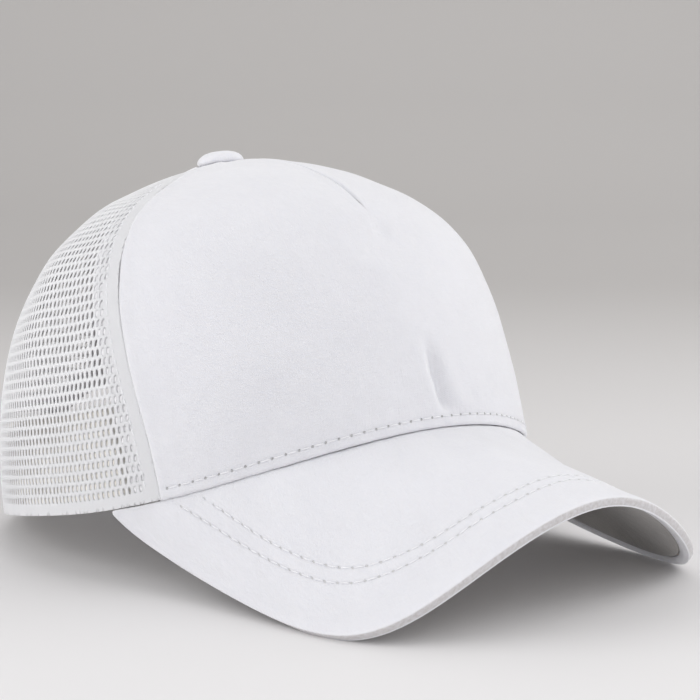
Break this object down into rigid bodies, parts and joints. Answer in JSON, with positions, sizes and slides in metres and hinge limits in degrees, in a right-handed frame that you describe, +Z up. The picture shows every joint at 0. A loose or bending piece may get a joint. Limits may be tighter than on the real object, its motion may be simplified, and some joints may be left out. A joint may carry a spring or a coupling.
{
  "type": "ponytail baseball cap",
  "caption": "White baseball cap with a cotton front panel, net sides and back, a curved peak and a bound slit for a ponytail above an arch closed by straps.",
  "frame": {"origin": "middle of the cap's bounding box, on the surface it rests on", "axes": "+Z up, the peak towards -Y, the wearer's right towards -X"},
  "size_m": [0.1736, 0.2484, 0.1287],
  "materials": {
    "white_cotton": "matt woven",
    "white_net": "matt knitted",
    "white_tape": "matt woven",
    "cream_cotton": "matt woven"
  },
  "bodies": {
    "root": {"front_panel": "white_cotton", "side_net_left": "white_net", "side_net_right": "white_net", "back_net_left": "white_net", "back_net_right": "white_net", "front_seam_tape_left": "white_tape", "front_seam_tape_right": "white_tape", "back_seam_tape_left": "white_tape", "back_seam_tape_right": "white_tape", "arch_binding": "white_tape", "slit_binding": "white_tape", "centre_back_tape": "white_tape", "sweatband": "cream_cotton", "strap_outer": "white_cotton", "strap_inner": "white_cotton", "peak_cover": "white_cotton", "peak_lining": "white_cotton", "button": "white_cotton"}
  },
  "joints": []
}
